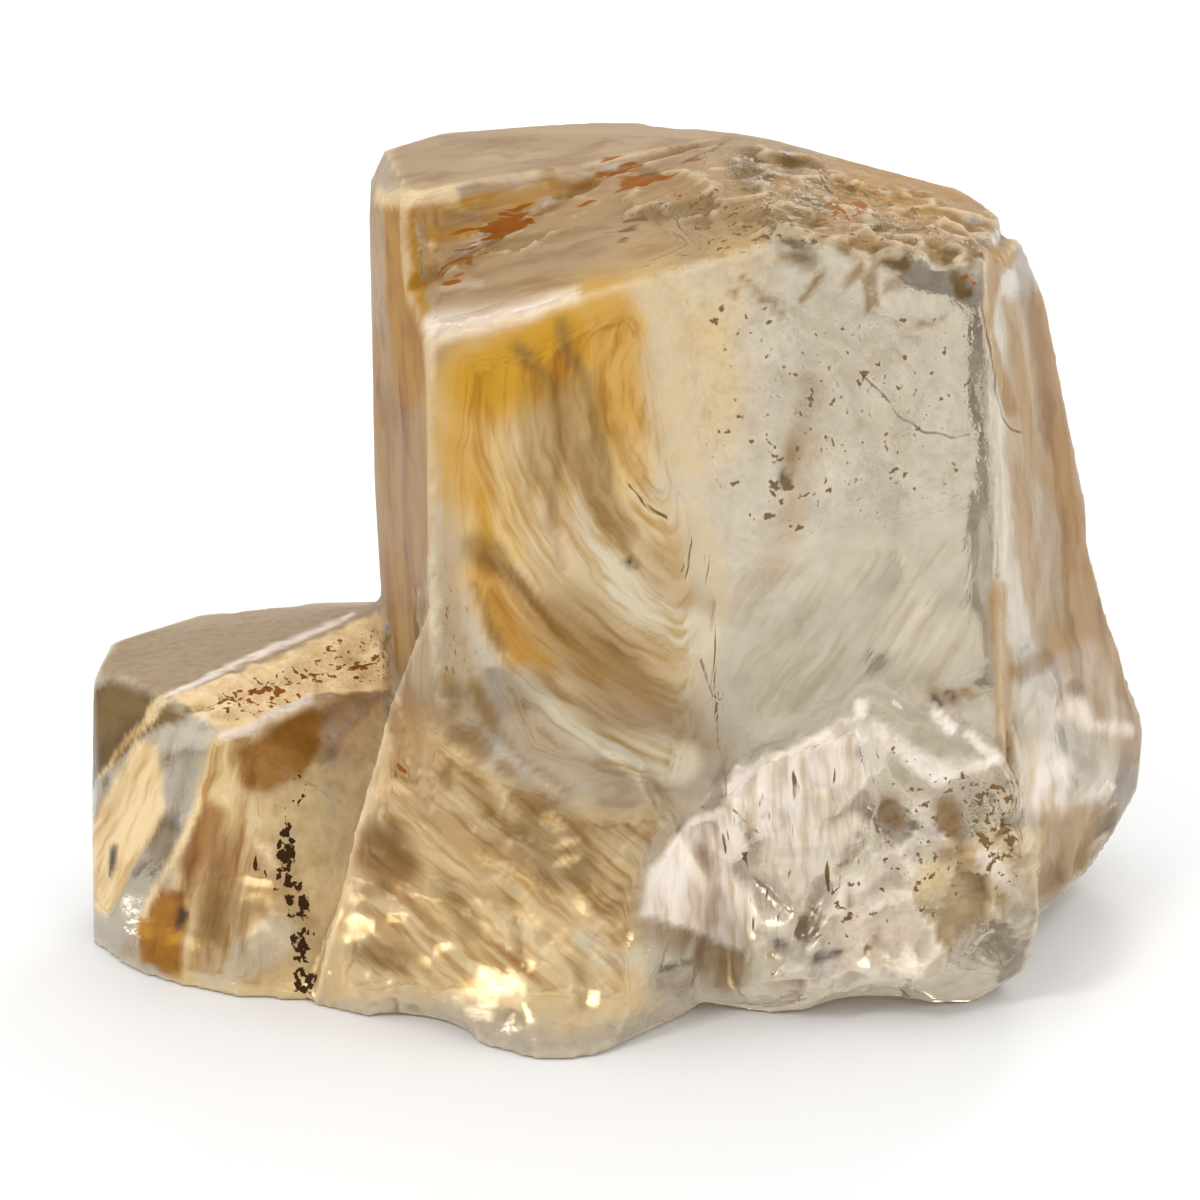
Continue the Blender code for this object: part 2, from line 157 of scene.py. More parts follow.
OLIVE = [
    patch(0.35, 1.0, (88, 692), (106, 680), (126, 680), (171, 697), (188, 717), (154, 732), (98, 776),
          (88, 800)),
    stroke(0.5, 0.5, 0.8, (163, 826), (163, 850)),
    stroke(0.5, 1.2, 0.6, (384, 842), (392, 856)),
    stroke(0.8, 1.8, 0.55, (226, 926), (244, 940)),
    stroke(1.8, 2.8, 0.45, (690, 775), (650, 812)),
    stroke(0.5, 0.7, 0.95, (745, 172), (755, 178)),
    stroke(0.3, 0.5, 0.8, (786, 158), (794, 166)),
    stroke(0.35, 0.5, 0.9, (776, 230), (790, 235)),
    stroke(0.4, 0.5, 0.75, (800, 252), (808, 260)),
    stroke(0.5, 0.4, 0.95, (886, 257), (900, 262)),
    patch(0.2, 0.95, (942, 253), (955, 263), (970, 279), (977, 301), (960, 304), (951, 279)),
    patch(0.2, 0.7, (960, 253), (981, 258), (979, 276)),
    stroke(0.4, 0.6, 0.5, (800, 930), (832, 934)),
    stroke(0.25, 0.4, 0.6, (1076, 758), (1082, 764)),
    stroke(1.4, 1.0, 0.5, (553, 834), (562, 852)),
]
GOLD = [
    patch(0.4, 1.0, (383, 200), (414, 202), (428, 330), (424, 400), (396, 420), (388, 330)),
    patch(0.6, 0.85, (388, 198), (440, 200), (520, 188), (600, 172), (600, 182), (540, 205), (490, 235),
          (440, 266), (424, 290), (420, 240)),
    stroke(0.6, 1.6, 0.5, (394, 570), (400, 610), (400, 640)),
    stroke(0.8, 1.0, 0.35, (860, 180), (940, 200)),
    stroke(0.2, 0.4, 0.6, (890, 202), (918, 200)),
]
ORANGE = [
    stroke(0.8, 3.2, 1.0, (484, 384), (505, 370), (535, 356), (560, 346)),
    stroke(0.3, 2.2, 0.7, (470, 400), (462, 440), (468, 480)),
    stroke(0.15, 0.6, 0.9, (478, 492), (482, 515), (487, 545)),
    stroke(0.6, 2.2, 0.75, (602, 306), (612, 350), (618, 410)),
    stroke(0.2, 1.4, 0.7, (478, 572), (490, 600), (512, 632), (535, 660)),
    stroke(0.1, 0.9, 0.5, (540, 610), (570, 645), (600, 672)),
]
BROWN = [
    stroke(0.12, 0.5, 0.7, (518, 344), (538, 368), (554, 390), (560, 425), (561, 457), (551, 485),
          (552, 527)),
    stroke(0.05, 0.4, 0.6, (552, 527), (556, 550), (562, 565)),
    stroke(0.5, 1.1, 0.5, (544, 395), (545, 470)),
    stroke(0.1, 0.45, 0.8, (561, 326), (570, 358), (585, 380), (592, 410), (602, 450), (610, 489)),
    stroke(0.6, 1.0, 0.5, (578, 395), (588, 450), (600, 500)),
    stroke(0.4, 1.0, 0.7, (588, 452), (598, 490), (614, 522), (624, 538)),
    stroke(0.1, 0.5, 0.8, (480, 556), (503, 568), (525, 588), (541, 606), (556, 632), (580, 655),
          (606, 678)),
    stroke(0.15, 0.6, 0.7, (606, 678), (626, 700), (644, 716)),
    stroke(0.35, 0.8, 0.7, (474, 546), (492, 558)),
    stroke(0.9, 2.2, 0.7, (572, 618), (592, 645), (612, 680), (644, 708)),
    stroke(0.3, 1.0, 0.4, (648, 560), (672, 590), (694, 600)),
    stroke(0.06, 0.35, 0.7, (472, 584), (487, 617), (503, 650)),
    stroke(0.2, 0.45, 0.75, (474, 691), (488, 712), (494, 724)),
    stroke(0.06, 0.4, 0.6, (500, 732), (520, 754), (542, 772), (570, 792)),
    stroke(0.35, 0.6, 0.75, (455, 734), (470, 738), (482, 752)),
    stroke(0.3, 0.8, 0.6, (447, 684), (445, 716)),
    stroke(0.2, 0.4, 0.8, (445, 768), (447, 784)),
    stroke(0.2, 0.4, 0.8, (503, 766), (514, 772)),
    stroke(0.15, 0.5, 0.8, (516, 798), (530, 812)),
    stroke(0.3, 1.0, 0.6, (528, 790), (540, 806)),
    stroke(0.2, 0.5, 0.7, (370, 891), (388, 890)),
    stroke(0.35, 0.8, 0.75, (362, 948), (398, 962)),
    stroke(0.4, 1.2, 0.7, (650, 925), (676, 936)),
    stroke(0.3, 0.8, 0.5, (470, 780), (500, 820), (530, 840)),
    stroke(0.2, 0.7, 0.5, (440, 880), (470, 930)),
    stroke(0.3, 1.0, 0.5, (580, 870), (600, 900), (640, 900)),
    stroke(0.5, 1.2, 0.75, (712, 950), (730, 972)),
    stroke(0.4, 0.9, 0.85, (947, 812), (950, 846)),
    patch(0.8, 0.8, (952, 853), (985, 862), (1014, 896), (1000, 905), (962, 890)),
    stroke(0.3, 0.6, 0.75, (890, 806), (896, 820)),
    stroke(0.5, 0.8, 0.7, (866, 905), (884, 920)),
    stroke(0.3, 0.6, 0.85, (1018, 672), (1034, 664), (1044, 660)),
    stroke(0.4, 0.7, 0.6, (1034, 886), (1052, 878)),
    stroke(0.1, 0.8, 0.5, (810, 380), (810, 401), (800, 430), (790, 465)),
    stroke(0.1, 0.2, 0.9, (863, 262), (864, 312)),
    stroke(0.08, 0.2, 0.8, (874, 264), (872, 306)),
    stroke(0.05, 0.25, 0.95, (822, 274), (802, 302)),
    stroke(0.1, 0.25, 0.8, (840, 248), (862, 262), (846, 286)),
    stroke(0.15, 0.25, 0.7, (884, 290), (900, 286)),
    stroke(0.04, 0.25, 0.8, (914, 322), (932, 322), (945, 318)),
    stroke(0.03, 0.25, 0.8, (741, 273), (760, 292), (784, 317)),
    stroke(0.08, 0.25, 0.8, (733, 288), (738, 294)),
    stroke(0.08, 0.25, 0.8, (762, 302), (774, 302)),
    stroke(0.25, 0.5, 0.7, (934, 692), (952, 700)),
    stroke(0.1, 0.3, 0.8, (960, 692), (974, 698)),
]
PALE = [
    stroke((0.05, 0.8), 0.8, 0.85, (580, 500), (592, 545), (615, 580), (653, 614), (694, 634)),
    stroke((0.1, 0.6), 0.8, 0.85, (528, 676), (551, 706), (590, 738), (640, 752), (680, 762)),
    stroke(0.5, 0.9, 0.6, (216, 975), (280, 935)),
    stroke(0.25, 0.5, 0.8, (584, 938), (608, 959), (636, 956)),
    stroke(0.5, 0.9, 0.6, (850, 895), (900, 880)),
    stroke(0.4, 1.5, 0.6, (913, 602), (900, 640), (930, 650)),
]
# Pale spots and lines, among them painted glints on the lower block and painted light on the step's slope.
CREAM_AND_GLINTS = [
    patch(0.5, 0.9, (137, 740), (157, 748), (163, 776), (165, 804), (149, 838), (104, 917), (90, 911),
          (90, 833), (98, 802), (115, 774)),
    patch(0.4, 0.5, (382, 700), (394, 748), (383, 793), (360, 830), (345, 883), (330, 945), (318, 1001),
          (322, 900), (334, 804), (326, 776), (344, 737)),
    # The step's slope: partly its own pale colour, partly painted light.
    patch(0.2, 1.0, (174, 697), (379, 611), (387, 692), (323, 694), (309, 700), (272, 716), (250, 731),
          (224, 735), (210, 726), (193, 715)),
    # Painted glints.
    patch(0.2, 0.95, (523, 906), (543, 918), (536, 933), (508, 915)),
    patch(0.2, 0.5, (510, 958), (533, 941), (536, 967)),
    patch(0.2, 0.5, (539, 939), (564, 928), (575, 949), (559, 964), (541, 967)),
    patch(0.2, 0.9, (500, 995), (518, 990), (520, 1010), (502, 1010)),
    stroke(0.08, 0.3, 0.6, (477, 854), (533, 888)),
    stroke(0.15, 0.4, 0.7, (390, 788), (408, 790)),
    stroke(0.1, 0.25, 0.8, (548, 820), (560, 830)),
    stroke(0.08, 0.2, 0.7, (556, 850), (574, 842)),
    stroke(0.08, 0.2, 0.7, (558, 866), (576, 858)),
    stroke((0.25, 0.05), 0.15, 0.8, (163, 702), (98, 774)),
    stroke(0.05, 0.3, 0.8, (205, 796), (191, 820), (182, 842), (163, 875), (143, 917)),
    stroke(0.05, 0.25, 0.5, (227, 799), (238, 818), (289, 877)),
    stroke(0.15, 0.5, 0.6, (380, 197), (450, 196)),
]
# Painted highlights and glints on the brow's lower edge, the step's ridges, the heel and the hackles, and
# the whitish fractured zone of the lower right.
HIGHLIGHTS_AND_WHITE = [
    stroke((0.25, 0.05), 0.9, 0.6, (438, 326), (480, 319), (530, 307), (570, 296)),
    stroke(0.05, 0.3, 0.4, (440, 288), (480, 281)),
    patch(0.25, 0.9, (845, 719), (772, 763), (735, 763), (723, 786), (729, 804), (753, 838), (769, 844),
          (800, 800), (850, 780), (868, 740)),
    patch(0.25, 0.85, (691, 816), (722, 803), (735, 811), (747, 834), (752, 870), (716, 880),
          (690, 850), (680, 838)),
    stroke(0.2, 0.25, 1.0, (861, 708), (861, 716)),
    stroke((0.2, 0.5), 0.5, 0.9, (876, 728), (913, 757), (940, 772)),
    stroke(0.15, 0.3, 1.0, (940, 775), (974, 769), (998, 758)),
    stroke(0.15, 0.3, 0.9, (936, 712), (950, 728)),
    stroke(0.1, 0.3, 0.7, (968, 735), (996, 756)),
    stroke(0.4, 1.2, 0.9, (1044, 776), (1054, 768)),
    stroke(0.1, 0.7, 0.8, (1062, 716), (1076, 706), (1086, 722)),
    stroke(0.05, 0.6, 0.8, (1086, 724), (1124, 730)),
    stroke(0.1, 0.25, 0.8, (1100, 794), (1112, 786)),
    stroke(0.3, 0.5, 0.7, (848, 884), (880, 902)),
    stroke(0.3, 0.4, 0.6, (985, 856), (1018, 896)),
    stroke(0.12, 0.25, 0.8, (223, 734), (250, 730), (272, 715), (309, 699)),
    stroke(0.06, 0.2, 0.9, (171, 694), (260, 652), (351, 614)),
    patch(0.6, 0.6, (770, 860), (810, 850), (800, 900), (764, 905)),
    patch(0.4, 0.85, (676, 839), (700, 820), (750, 850), (762, 926), (740, 950), (690, 930), (640, 915),
          (650, 870)),
    patch(0.3, 0.75, (748, 765), (860, 722), (868, 790), (860, 845), (770, 850), (735, 810)),
    stroke(0.7, 1.2, 0.8, (1040, 762), (1048, 790)),
]
RUST = [
    stroke(0.25, 0.8, 0.9, (446, 274), (460, 264), (482, 256)),
    stroke(0.25, 0.9, 0.85, (488, 231), (505, 222), (520, 218)),
    stroke(0.2, 0.8, 0.8, (558, 190), (585, 180)),
    stroke(0.4, 0.9, 0.85, (600, 168), (618, 170), (638, 176)),
    stroke(0.15, 0.6, 0.85, (650, 176), (672, 168), (700, 160)),
    stroke(0.12, 0.5, 0.8, (428, 574), (424, 584), (420, 594)),
    stroke(0.3, 1.0, 0.8, (842, 204), (862, 208)),
    stroke(0.15, 0.5, 0.7, (955, 275), (975, 285)),
    patch(0.4, 0.62, (215, 690), (379, 620), (387, 680), (323, 690), (240, 725), (200, 712)),
    stroke(0.1, 0.4, 0.85, (200, 711), (290, 686), (381, 659)),
    stroke(0.12, 0.5, 0.8, (396, 765), (400, 776)),
    stroke(0.15, 0.6, 0.6, (676, 190), (680, 205)),
    stroke(0.8, 1.2, 0.5, (450, 250), (560, 205), (640, 190)),
]
SPECKS = [
    stroke(0.15, 0.7, 0.65, (810, 378), (802, 430), (787, 470), (762, 530)),
    stroke(0.15, 0.3, 0.95, (782, 478), (788, 484)),
    stroke(0.3, 1.2, 0.55, (640, 480), (665, 530), (700, 570)),
    stroke(0.1, 0.5, 0.7, (712, 600), (712, 660), (716, 700), (716, 760)),
    patch(2.0, 0.43, (700, 290), (980, 320), (985, 470), (900, 540), (740, 540), (700, 480)),
    patch(1.0, 0.6, (560, 215), (700, 190), (860, 180), (980, 240), (820, 245), (640, 270)),
    patch(0.4, 0.7, (959, 783), (1020, 774), (1026, 847), (1010, 870), (986, 856), (965, 817)),
    patch(1.5, 0.5, (690, 800), (860, 720), (1000, 770), (1020, 900), (760, 960)),
    patch(1.5, 0.45, (400, 560), (470, 560), (500, 760), (420, 800)),
]
VEIN = [
    stroke(0.12, 0.5, 0.8, (310, 776), (298, 780), (300, 796), (298, 812)),
    stroke(0.15, 0.4, 0.9, (287, 798), (286, 806)),
    stroke(0.25, 0.6, 1.0, (284, 826), (286, 845), (288, 862)),
    stroke(0.3, 0.8, 1.0, (284, 872), (292, 884), (300, 900)),
    stroke(0.25, 0.9, 0.85, (300, 900), (302, 925), (300, 950), (304, 985)),
    stroke(0.08, 0.6, 0.7, (238, 838), (262, 868), (284, 895)),
]
SHADE = [
    stroke((0.1, 0.2), 0.4, 0.85, (776, 940), (800, 953), (812, 957)),
    stroke((0.15, 0.03), 0.35, 0.8, (812, 957), (842, 954)),
    stroke(0.3, 0.8, 0.3, (784, 930), (810, 940)),
    stroke(0.12, 0.25, 1.0, (627, 562), (632, 566)),
    stroke(0.12, 0.25, 0.9, (783, 476), (785, 484)),
    stroke(0.05, 0.25, 0.8, (182, 911), (178, 926)),
    stroke(0.04, 0.22, 0.9, (112, 849), (108, 872)),
    stroke(0.05, 0.2, 0.7, (933, 695), (941, 706)),
    stroke(0.04, 0.2, 0.6, (948, 692), (954, 703)),
    stroke(0.05, 0.2, 0.6, (977, 666), (984, 670)),
]
SEAMS = [
    ((640, 176), (690, 160), (718, 148), (735, 142)),
    ((804, 164), (820, 177), (835, 189)),
    ((860, 374), (884, 396), (904, 419), (924, 432), (950, 439), (970, 434)),
    ((714, 700), (720, 760), (728, 800), (758, 832)),
    ((700, 655), (712, 700)),
    ((983, 299), (988, 355), (1003, 418), (1019, 432)),
    ((193, 712), (270, 690), (330, 672), (382, 661)),
]
CLOUDY = [
    patch(2.0, 1.0, (400, 700), (480, 760), (600, 800), (690, 810), (640, 900), (640, 1010),
          (450, 1000), (330, 1000), (350, 860)),
    patch(1.0, 0.8, (215, 790), (300, 790), (320, 1000), (180, 985), (190, 880)),
    patch(1.0, 0.8, (430, 560), (470, 580), (500, 740), (440, 790)),
]
HACKLES = [
    patch(1.2, 1.0, (760, 800), (800, 760), (862, 722), (920, 750), (1005, 765), (1030, 850),
          (1035, 930), (900, 990), (770, 990)),
]
WAVY = [
    patch(2.0, 1.0, (1030, 480), (1075, 470), (1150, 740), (1100, 880), (1035, 920), (1005, 700)),
    patch(1.5, 0.7, (90, 760), (320, 720), (320, 1000), (120, 960)),
]
GLASSY = [
    patch(1.5, 1.0, (1005, 440), (1075, 470), (1150, 740), (1100, 880), (1035, 920), (760, 1000),
          (640, 990), (700, 830), (850, 700), (1000, 690)),
    patch(1.5, 0.8, (200, 740), (320, 700), (320, 1000), (120, 960), (90, 800)),
]
GRITTY = [
    patch(0.6, 1.0, (600, 215), (700, 165), (760, 142), (860, 180), (1000, 215), (985, 262), (900, 262),
          (820, 245), (740, 232)),
    patch(0.3, 1.0, (174, 697), (379, 611), (387, 692), (323, 695), (309, 701), (272, 717), (224, 736),
          (193, 715)),
    patch(0.6, 0.6, (420, 210), (600, 175), (740, 145), (640, 205), (430, 290)),
    patch(0.6, 0.8, (959, 783), (1020, 774), (1026, 847), (1029, 893), (986, 856), (965, 817)),
    patch(0.8, 0.6, (735, 765), (860, 715), (860, 800), (760, 900), (690, 830)),
]
ARC_HUB = (800, 385)

# Where the fine grain runs in streaks: its lean from the picture's vertical in degrees, or none where it
# sweeps round the hub, and the tint of its low lines.
STREAKED = [
    (None, (0.84, 0.74, 0.52), patch(3.5, 1.0, (446, 350), (535, 328), (640, 282), (660, 330),
          (680, 440), (710, 560), (712, 690), (690, 800), (600, 790), (520, 760), (480, 690), (460, 600),
          (440, 480))),
    (50, (0.80, 0.69, 0.48), patch(2.0, 1.0, (400, 700), (480, 760), (600, 810), (690, 800), (640, 900),
          (640, 1010), (450, 1000), (330, 1000), (350, 860))),
    (2, (0.84, 0.80, 0.74), patch(1.0, 1.0, (640, 900), (690, 810), (760, 760), (862, 722), (880, 800),
          (860, 860), (770, 990), (650, 1000))),
    (8, (0.86, 0.80, 0.70), patch(1.0, 1.0, (990, 250), (1040, 270), (1080, 480), (1150, 740),
          (1100, 880), (1030, 900), (1000, 600))),
    (-78, (0.88, 0.83, 0.76), patch(1.0, 1.0, (380, 130), (700, 130), (720, 170), (640, 200),
          (700, 250), (560, 300), (430, 330), (380, 200))),
    (3, (0.86, 0.79, 0.66), patch(1.0, 1.0, (366, 200), (430, 210), (436, 560), (424, 790), (380, 640))),
    (-12, (0.78, 0.66, 0.42), patch(1.0, 1.0, (205, 740), (262, 720), (262, 800), (268, 900),
          (262, 990), (140, 960), (190, 830))),
    (-25, (0.84, 0.77, 0.62), patch(1.0, 1.0, (88, 700), (190, 720), (165, 830), (110, 930), (85, 900))),
    (-35, (0.88, 0.86, 0.82), patch(2.0, 1.0, (720, 560), (980, 520), (985, 680), (930, 700),
          (860, 700), (760, 740), (720, 690))),
]
STREAK_STRETCH = 7.0
ARC_RADIUS = 12.0

# What each stain looks like: its colour as sRGB, how much dust or haze it lays on the glass, and
# how much its rim is broken up.
# Not all of these are stains: some lay painted highlights and painted glints in the stone's colour.
STAINS_AND_PAINTED_LIGHT = {
    "frost": (FROST, (0.67, 0.56, 0.41), 0.78, 0.6),
    "tan": (TAN, (0.65, 0.49, 0.25), 0.85, 0.6),
    "warm": (WARM, (0.95, 0.81, 0.55), 0.58, 0.8),
    "honey": (HONEY, (0.90, 0.74, 0.42), 0.72, 0.5),
    "amber": (AMBER, (0.62, 0.38, 0.01), 0.65, 0.7),
    "olive": (OLIVE, (0.45, 0.33, 0.08), 0.60, 0.8),
    "gold": (GOLD, (0.68, 0.48, 0.06), 0.90, 0.8),
    "orange": (ORANGE, (0.79, 0.57, 0.10), 0.72, 0.4),
    "brown": (BROWN, (0.54, 0.40, 0.18), 0.70, 0.6),
    "pale": (PALE, (0.88, 0.84, 0.74), 0.60, 0.4),
    "cream_and_glints": (CREAM_AND_GLINTS, (1.0, 0.88, 0.67), 0.90, 0.8),
    "highlights_and_white": (HIGHLIGHTS_AND_WHITE, (1.0, 0.95, 0.90), 0.85, 1.2),
    "shade": (SHADE, (0.22, 0.19, 0.16), 0.90, 1.0),
}
GRAINS = {
    "rust": (RUST, (0.58, 0.33, 0.06)),
    "vein": (VEIN, (0.25, 0.14, 0.04)),
    "specks": (SPECKS, (0.48, 0.38, 0.24)),
}
CLEAR_TINT = (0.85, 0.82, 0.76)
CLEAR_HAZE = 0.22
SEAM_TINT = (0.34, 0.25, 0.16)
# Ridges turn pale: partly frosted chipped edges, partly a painted highlight along the edges.
RIDGE_WEAR_AND_HIGHLIGHT_TINT = (0.98, 0.92, 0.80)
HOLLOW_TINT = (0.44, 0.32, 0.14)
MOTTLE_TINT = (0.92, 0.91, 0.89)
FLOOR_TINT = (0.97, 0.97, 0.97)
WHITE = (1.0, 1.0, 1.0)

# The relief of the broken surfaces: heights and cell sizes in mm, and how soon the back's sets in.
SWELL, SWELL_SIZE = 0.05, 7.0
BACK_SWELL, BACK_SIZES = 0.35, (5.0, 5.0, 3.0)
HEEL_SWELL, HEEL_SIZES = 0.30, (4.0, 4.0, 3.0)
FLAKE, FLAKE_SIZES = 0.65, (2.6, 2.6, 3.2)
CHIP, CLOUDY_CHIP, CHIP_SIZES = 0.45, 0.15, (2.2, 1.6, 1.4)
CELL_TILT = 0.6
CELL_LEVEL = 0.25
BACK_LEAN = 1.5
DRIFTS = ((0.2, 3.0), (0.15, 1.0))

# Where a rule lays a stain: the value that it starts at, and over how much it sets in, below 0 where the
# value falls. Heights and sides are in mm, and the strengths are what it lays at most.
TOP_LEAN, TOP_HEIGHT = (0.4, 0.3), (28.0, 3.0)
STEP_LEAN, STEP_SIDE = (0.6, 0.3), (-11.0, -1.0)
LEFT_LEAN, LEFT_HEIGHT = (-0.3, -0.3), (14.0, 1.0)
OLIVE_LOTS, BROWN_LOTS, WHITE_AND_GLINT_LOTS = (0.3, -0.1), (0.15, -0.05), (0.45, 0.05)
AMBER_SWIRL, CREAM_SWIRL, SWIRL_SIZE = (0.2, 0.8), (-0.3, -0.8), 1.8
STEP_FROST, LEFT_FROST = 0.9, 0.8
TOP_TAN, TOP_OLIVE = 0.35, 0.6
CLOUD_AMBER, CLOUD_CREAM = 0.3, 0.5
# Hackle cells that turn white are partly whitish fractures, partly painted glints.
HACKLE_BROWN, HACKLE_WHITE_AND_GLINT = 0.45, 0.55

# Blots that break up the stains, and fine lines along the grain: share, size in mm and seed of each wave.
BLOTS = ((0.7, 2.2, 21), (0.5, 0.8, 22))
BLOTTED_HAZE, GLASSY_LOSS = 0.6, 0.6
LINE_SIZE, LINE_LEVEL, LINE_DEPTH = 0.9, (0.05, 0.45), 0.7

# How far a point stands out, in mm, for its ridge or hollow to take a tint and dust, and how much of each.
BEND_START = 0.02
BEND_FULL = 0.10
BEND_TINTING = 0.4
RIDGE_DUST, HOLLOW_DUST = 0.3, 0.2

# How coarse the bump is on plain faces, how much grit adds to it, and what hackles count as grit.
PLAIN_BUMP, GRIT_BUMP, HACKLE_GRIT = 0.35, 1.6, 0.3

# The material: its one fine noise and the levels of it that show as grains or shade, with sizes in mm, the
# seams, and the quartz itself with its polish and its dust.
GRAIN_SIZE = 0.5
GRAIN_DETAIL = 2.0
GRAIN_ROUGHNESS = 0.6
GRAIN_LIFT, GRAIN_LEVEL = 0.35, (0.78, 0.84)
SHADE_LEVEL = (0.25, 0.6)
BUMP_HEIGHT = 0.06
SEAM_CORE, SEAM_RIM = 0.02, 0.09
SEAM_ENDS, SEAM_BREAKS = (0.5, 0.9), (0.35, 0.55)
SEAM_STRENGTH, SEAM_DUST = 0.8, 0.5
POLISH, HAZE_ROUGHNESS = 0.02, 0.25
DUST_ROUGHNESS, DUST_SHINE = 0.6, 0.15
QUARTZ_IOR = 1.545
BODY_TINT = (0.98, 0.92, 0.76)
BODY_DENSITY = 16.0

# The studio: which way the room is lightest, its two tones, and its lamps: place, watts and size.
SKY_LEAN = (0.2, 0.4, 0.88)
SKY_DIM, SKY_LIT = (0.52, 0.51, 0.50), (1.0, 1.0, 1.0)
SKY_LEVEL = (-0.5, 0.55)
FLOOR_DROP = 0.1
FLOOR_SIZE = 4.0
LAMPS = {
    "key": ((-0.2, -0.25, 0.35), 0.5, 0.08),
    "side": ((0.3, -0.1, 0.15), 0.13, 0.08),
    "back": ((0.1, 0.3, 0.25), 0.3, 0.1),
}


def linear(colour):
    """An sRGB colour as the linear one with alpha that shaders take."""
    return tuple(c / 12.92 if c <= 0.04045 else ((c + 0.055) / 1.055) ** 2.4 for c in colour) + (1.0,)


def ease(amount):
    """A smooth step from 0 to 1 as amount goes from 0 to 1."""
    held = np.clip(amount, 0.0, 1.0)
    return held * held * (3.0 - 2.0 * held)


def set_in(values, start, over):
    """0 where the values reach start and 1 where they are past it by over, which may be below 0."""
    return ease((values - start) / over)


class Board:
    """The nodes of one material or world."""

    def __init__(self, owner):
        owner.use_nodes = True
        self.tree = owner.node_tree
        self.tree.nodes.clear()

    def add(self, kind, settings=None, sockets=None, out=0):
        """Adds a node, sets it up, joins or sets its sockets, and returns one of its outputs."""
        node = self.tree.nodes.new(kind)
        for name, value in (settings or {}).items():
            setattr(node, name, value)
        for name, value in (sockets or {}).items():
            if isinstance(value, Wire):
                self.tree.links.new(value.socket, node.inputs[name])
            else:
                node.inputs[name].default_value = value
        return Wire(self, node.outputs[out]) if len(node.outputs) else None

    def blend(self, share, first, second):
        """A colour that goes from first to second as share goes from 0 to 1."""
        return self.add("ShaderNodeMix", {"data_type": "RGBA"}, {0: share, 6: first, 7: second}, out=2)

    def rise(self, value, low, high):
        """0 below low, 1 above high, and smooth between."""
        smooth = {"interpolation_type": "SMOOTHSTEP"}
        return self.add("ShaderNodeMapRange", smooth, {0: value, 1: low, 2: high})

    def grain(self, where, size, detail, roughness):
        """Soft noise of about the given size, around 0.5."""
        return self.add(
            "ShaderNodeTexNoise",
            {},
            {"Vector": where, "Scale": 1.0 / size, "Detail": detail, "Roughness": roughness},
        )

    def zone(self, name, out="Fac"):
        """What the net says about a stain or finish."""
        return self.add("ShaderNodeAttribute", {"attribute_name": name}, out=out)


class Wire:
    """One output of a node. Arithmetic on it adds Math nodes."""

    def __init__(self, board, socket):
        self.board = board
        self.socket = socket

    def math(self, operation, first, second, clamp=False):
        settings = {"operation": operation, "use_clamp": clamp}
        return self.board.add("ShaderNodeMath", settings, {0: first, 1: second})

    def __add__(self, other):
        return self.math("ADD", self, other)

    def __radd__(self, other):
        return self.math("ADD", other, self)

    def __sub__(self, other):
        return self.math("SUBTRACT", self, other)

    def __rsub__(self, other):
        return self.math("SUBTRACT", other, self)

    def __mul__(self, other):
        return self.math("MULTIPLY", self, other)

    def __rmul__(self, other):
        return self.math("MULTIPLY", other, self)

    def held(self):
        """The value kept between 0 and 1."""
        return self.math("ADD", self, 0.0, clamp=True)

    def size(self):
        """The value without its sign."""
        return self.math("ABSOLUTE", self, 0.0)


